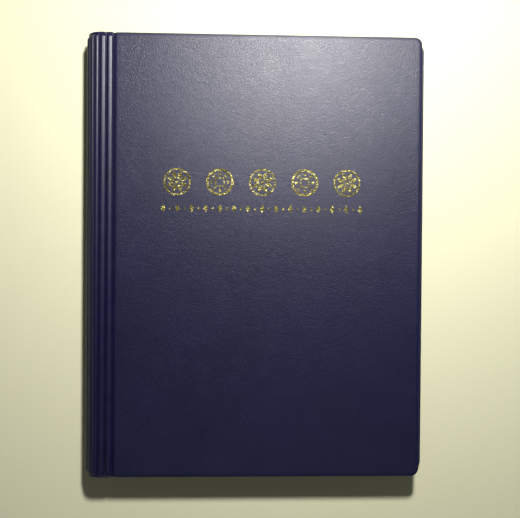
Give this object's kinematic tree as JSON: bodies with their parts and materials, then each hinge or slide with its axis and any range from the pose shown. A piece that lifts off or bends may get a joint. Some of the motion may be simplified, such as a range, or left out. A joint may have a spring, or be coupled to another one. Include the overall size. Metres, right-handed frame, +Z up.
{
  "type": "coin album",
  "caption": "Closed pocket album for coins: grained navy vinyl covers, a ribbed rolling spine and clear leaves of slit-mouth coin pockets, welded together at the binding.",
  "frame": {"origin": "middle of the closed album's footprint, on the surface that it lies on", "axes": "+X from the spine to the fore-edge, +Y to the head, +Z up out of the front cover"},
  "size_m": [0.1594, 0.2046, 0.0139],
  "materials": {
    "navy_vinyl": "fine leather grain, satin",
    "rib_vinyl": "smooth, semi-gloss",
    "liner_vinyl": "fine grain, matte",
    "greyboard": "plain",
    "backing_film": "clear, slightly frosted",
    "pocket_film": "clear, glossy",
    "welded_margins": "milky where the films are fused",
    "gold_foil": "hot-stamped foil"
  },
  "bodies": {
    "back_cover": {"back_cover_skin": "navy_vinyl", "back_board": "greyboard", "back_liner": "liner_vinyl", "spine_rib_09": "rib_vinyl", "spine_rib_10": "rib_vinyl", "spine_rib_11": "rib_vinyl"},
    "rib_08": {"spine_rib_08": "rib_vinyl"},
    "rib_07": {"spine_rib_07": "rib_vinyl"},
    "binding": {"spine_rib_06": "rib_vinyl", "binding_tongue": "rib_vinyl", "binding_block": "welded_margins", "leaf_01_root": "backing_film", "leaf_02_root": "backing_film", "leaf_03_root": "backing_film", "leaf_04_root": "backing_film", "leaf_05_root": "backing_film", "leaf_06_root": "backing_film", "leaf_07_root": "backing_film", "leaf_08_root": "backing_film", "leaf_09_root": "backing_film", "leaf_10_root": "backing_film"},
    "rib_05": {"spine_rib_05": "rib_vinyl"},
    "rib_04": {"spine_rib_04": "rib_vinyl"},
    "rib_03": {"spine_rib_03": "rib_vinyl"},
    "front_strip": {"spine_rib_01": "rib_vinyl", "spine_rib_02": "rib_vinyl"},
    "front_cover": {"front_cover_skin": "navy_vinyl", "front_board": "greyboard", "front_liner": "liner_vinyl"},
    "leaf_01": {"leaf_01_backing": "backing_film", "leaf_01_pockets": "pocket_film"},
    "leaf_02": {"leaf_02_backing": "backing_film", "leaf_02_pockets": "pocket_film"},
    "leaf_03": {"leaf_03_backing": "backing_film", "leaf_03_pockets": "pocket_film"},
    "leaf_04": {"leaf_04_backing": "backing_film", "leaf_04_pockets": "pocket_film"},
    "leaf_05": {"leaf_05_backing": "backing_film", "leaf_05_pockets": "pocket_film"},
    "leaf_06": {"leaf_06_backing": "backing_film", "leaf_06_pockets": "pocket_film"},
    "leaf_07": {"leaf_07_backing": "backing_film", "leaf_07_pockets": "pocket_film"},
    "leaf_08": {"leaf_08_backing": "backing_film", "leaf_08_pockets": "pocket_film"},
    "leaf_09": {"leaf_09_backing": "backing_film", "leaf_09_pockets": "pocket_film"},
    "leaf_10": {"leaf_10_backing": "backing_film", "leaf_10_pockets": "pocket_film"}
  },
  "joints": [
    {"name": "front_cover_hinge", "type": "hinge", "parent": "front_strip", "child": "front_cover", "pos_m": [-0.06691, 0, 0.01295], "axis": [0, -1, 0], "range_deg": [0, 33.1]},
    {"name": "spine_fold_08", "type": "hinge", "parent": "back_cover", "child": "rib_08", "pos_m": [-0.07312, 0, 0.00095], "axis": [0, -1, 0], "range_deg": [0, 12.5]},
    {"name": "spine_fold_07", "type": "hinge", "parent": "rib_08", "child": "rib_07", "pos_m": [-0.07612, 0, 0.00175], "axis": [0, -1, 0], "range_deg": [0, 25]},
    {"name": "spine_fold_06", "type": "hinge", "parent": "rib_07", "child": "binding", "pos_m": [-0.07831, 0, 0.00395], "axis": [0, -1, 0], "range_deg": [0, 25]},
    {"name": "spine_fold_05", "type": "hinge", "parent": "binding", "child": "rib_05", "pos_m": [-0.07912, 0, 0.00695], "axis": [0, -1, 0], "range_deg": [0, 25]},
    {"name": "spine_fold_04", "type": "hinge", "parent": "rib_05", "child": "rib_04", "pos_m": [-0.07831, 0, 0.00995], "axis": [0, -1, 0], "range_deg": [0, 25]},
    {"name": "spine_fold_03", "type": "hinge", "parent": "rib_04", "child": "rib_03", "pos_m": [-0.07612, 0, 0.01215], "axis": [0, -1, 0], "range_deg": [0, 25]},
    {"name": "spine_fold_02", "type": "hinge", "parent": "rib_03", "child": "front_strip", "pos_m": [-0.07312, 0, 0.01295], "axis": [0, -1, 0], "range_deg": [0, 12.5]},
    {"name": "leaf_01_hinge", "type": "hinge", "parent": "binding", "child": "leaf_01", "pos_m": [-0.06341, 0, 0.00647], "axis": [0, -1, 0], "range_deg": [0, 119.5], "deforming": ["leaf_01_root"]},
    {"name": "leaf_02_hinge", "type": "hinge", "parent": "binding", "child": "leaf_02", "pos_m": [-0.06341, 0, 0.00647], "axis": [0, -1, 0], "range_deg": [0, 119.1], "deforming": ["leaf_02_root"]},
    {"name": "leaf_03_hinge", "type": "hinge", "parent": "binding", "child": "leaf_03", "pos_m": [-0.06341, 0, 0.00647], "axis": [0, -1, 0], "range_deg": [0, 118.7], "deforming": ["leaf_03_root"]},
    {"name": "leaf_04_hinge", "type": "hinge", "parent": "binding", "child": "leaf_04", "pos_m": [-0.06341, 0, 0.00647], "axis": [0, -1, 0], "range_deg": [0, 118.3], "deforming": ["leaf_04_root"]},
    {"name": "leaf_05_hinge", "type": "hinge", "parent": "binding", "child": "leaf_05", "pos_m": [-0.06341, 0, 0.00647], "axis": [0, -1, 0], "range_deg": [0, 117.9], "deforming": ["leaf_05_root"]},
    {"name": "leaf_06_hinge", "type": "hinge", "parent": "binding", "child": "leaf_06", "pos_m": [-0.06341, 0, 0.00647], "axis": [0, -1, 0], "range_deg": [-65.4, 0], "deforming": ["leaf_06_root"]},
    {"name": "leaf_07_hinge", "type": "hinge", "parent": "binding", "child": "leaf_07", "pos_m": [-0.06341, 0, 0.00647], "axis": [0, -1, 0], "range_deg": [-65.6, 0], "deforming": ["leaf_07_root"]},
    {"name": "leaf_08_hinge", "type": "hinge", "parent": "binding", "child": "leaf_08", "pos_m": [-0.06341, 0, 0.00647], "axis": [0, -1, 0], "range_deg": [-65.8, 0], "deforming": ["leaf_08_root"]},
    {"name": "leaf_09_hinge", "type": "hinge", "parent": "binding", "child": "leaf_09", "pos_m": [-0.06341, 0, 0.00647], "axis": [0, -1, 0], "range_deg": [-66, 0], "deforming": ["leaf_09_root"]},
    {"name": "leaf_10_hinge", "type": "hinge", "parent": "binding", "child": "leaf_10", "pos_m": [-0.06341, 0, 0.00647], "axis": [0, -1, 0], "range_deg": [-66.2, 0], "deforming": ["leaf_10_root"]}
  ],
  "couplings": [
    {"joint": "spine_fold_08", "follows": "front_cover_hinge", "ratio": 0.37764},
    {"joint": "spine_fold_07", "follows": "front_cover_hinge", "ratio": 0.75529},
    {"joint": "spine_fold_06", "follows": "front_cover_hinge", "ratio": 0.75529},
    {"joint": "spine_fold_05", "follows": "front_cover_hinge", "ratio": 0.75529},
    {"joint": "spine_fold_04", "follows": "front_cover_hinge", "ratio": 0.75529},
    {"joint": "spine_fold_03", "follows": "front_cover_hinge", "ratio": 0.75529},
    {"joint": "spine_fold_02", "follows": "front_cover_hinge", "ratio": 0.37764},
    {"joint": "leaf_01_hinge", "follows": "front_cover_hinge", "ratio": 3.6103},
    {"joint": "leaf_02_hinge", "follows": "front_cover_hinge", "ratio": 3.5982},
    {"joint": "leaf_03_hinge", "follows": "front_cover_hinge", "ratio": 3.5861},
    {"joint": "leaf_04_hinge", "follows": "front_cover_hinge", "ratio": 3.574},
    {"joint": "leaf_05_hinge", "follows": "front_cover_hinge", "ratio": 3.5619},
    {"joint": "leaf_06_hinge", "follows": "front_cover_hinge", "ratio": -1.9758},
    {"joint": "leaf_07_hinge", "follows": "front_cover_hinge", "ratio": -1.9819},
    {"joint": "leaf_08_hinge", "follows": "front_cover_hinge", "ratio": -1.9879},
    {"joint": "leaf_09_hinge", "follows": "front_cover_hinge", "ratio": -1.994},
    {"joint": "leaf_10_hinge", "follows": "front_cover_hinge", "ratio": -2}
  ]
}
